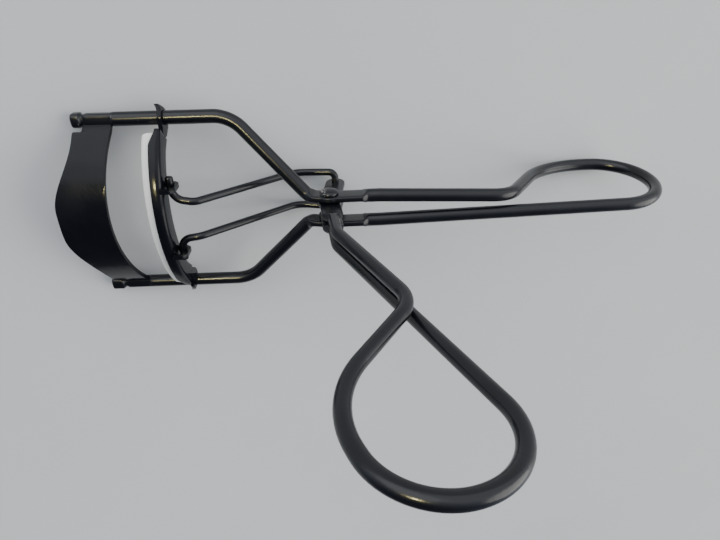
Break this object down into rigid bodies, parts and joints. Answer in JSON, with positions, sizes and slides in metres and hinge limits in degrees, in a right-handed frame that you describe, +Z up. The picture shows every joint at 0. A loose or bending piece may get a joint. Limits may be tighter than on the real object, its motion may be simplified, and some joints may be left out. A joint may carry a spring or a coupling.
{
  "type": "eyelash curler",
  "caption": "Hand-held eyelash curler: a bent wire frame with finger loop and curved upper jaw, a lever handle and a link that slides a padded lower jaw along the frame's rods.",
  "frame": {"origin": "middle of the bounding box's base: the plane that the tips of the jaw rods and the fixed finger loop rest on", "axes": "+X along the pivot rivet, +Y from the handles towards the jaws, +Z up"},
  "size_m": [0.039, 0.1162, 0.0779],
  "materials": {
    "enamel": "gloss black enamel over steel",
    "pad_rubber": "matt off-white silicone rubber"
  },
  "bodies": {
    "frame": {"frame_wire": "enamel", "upper_jaw": "enamel", "pivot_rivet": "enamel"},
    "lever": {"lever_wire": "enamel"},
    "carrier": {"lower_jaw": "enamel", "jaw_pad": "pad_rubber"},
    "link": {"link_wire": "enamel"}
  },
  "joints": [
    {"name": "handle_pivot", "type": "hinge", "parent": "frame", "child": "lever", "pos_m": [0, 0.0098, 0.01247], "axis": [1, 0, 0], "range_deg": [-25, 34.5]},
    {"name": "jaw_slide", "type": "slide", "parent": "frame", "child": "carrier", "axis": [0, 0.9888, -0.1494], "range_m": [-0.0041, 0.00565]},
    {"name": "link_hinge", "type": "hinge", "parent": "lever", "child": "link", "pos_m": [0, 0.00737, 0.00298], "axis": [1, 0, 0], "range_deg": [-34.5, 25]}
  ],
  "couplings": [
    {"joint": "jaw_slide", "follows": "handle_pivot", "m_per_rad": 0.00935},
    {"joint": "link_hinge", "follows": "handle_pivot", "ratio": -1}
  ]
}
